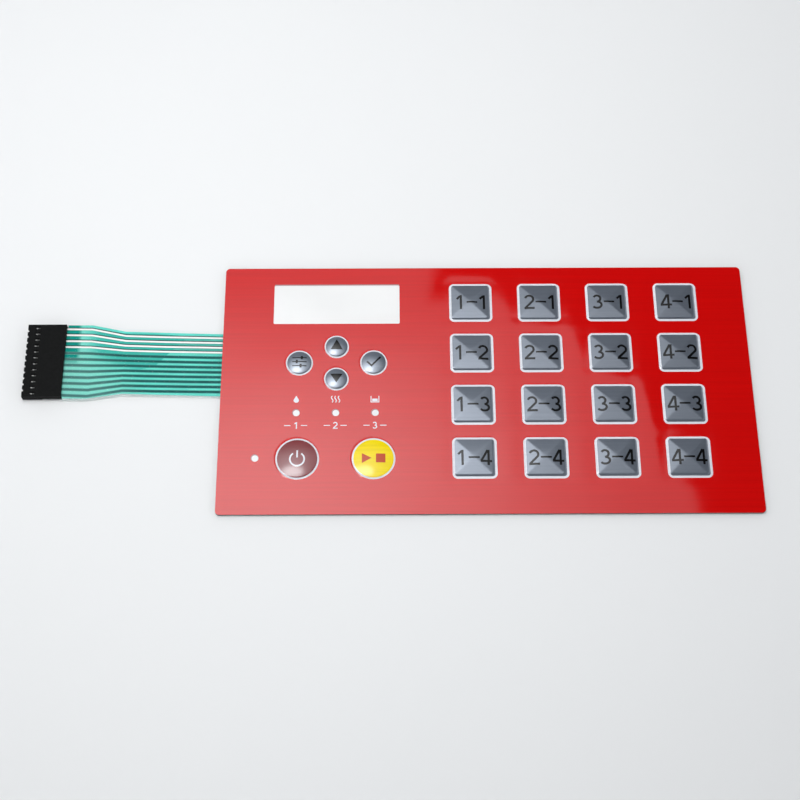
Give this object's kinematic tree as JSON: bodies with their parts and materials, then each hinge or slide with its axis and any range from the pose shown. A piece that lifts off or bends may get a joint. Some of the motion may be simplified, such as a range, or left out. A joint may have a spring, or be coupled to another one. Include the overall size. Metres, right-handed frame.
{
  "type": "membrane keypad",
  "caption": "Rectangular membrane keypad with embossed square and round keys, a clear display window, lamp windows and a flexible printed tail that ends in a flat crimp connector.",
  "frame": {"origin": "centre of the panel's outline on its back face, the outer face of the release liner", "axes": "+X along the panel's long side away from the tail, +Y toward the edge above the display window, +Z out of the printed front"},
  "size_m": [0.281, 0.104, 0.003],
  "materials": {
    "overlay": "hairline satin",
    "adhesive": "matt",
    "clear_film": "clear gloss",
    "spacer_film": "matt",
    "green_film": "satin",
    "liner": "smooth",
    "housing": "fine matt",
    "contact": "tin plated"
  },
  "bodies": {
    "root": {"graphic_overlay": "overlay", "overlay_adhesive": "adhesive", "upper_circuit": "clear_film", "circuit_spacer": "spacer_film", "lower_circuit": "green_film", "rear_adhesive": "adhesive", "release_liner": "liner", "connector_housing": "housing", "contact_01": "contact", "contact_02": "contact", "contact_03": "contact", "contact_04": "contact", "contact_05": "contact", "contact_06": "contact", "contact_07": "contact", "contact_08": "contact", "contact_09": "contact", "contact_10": "contact", "contact_11": "contact", "contact_12": "contact"}
  },
  "joints": []
}
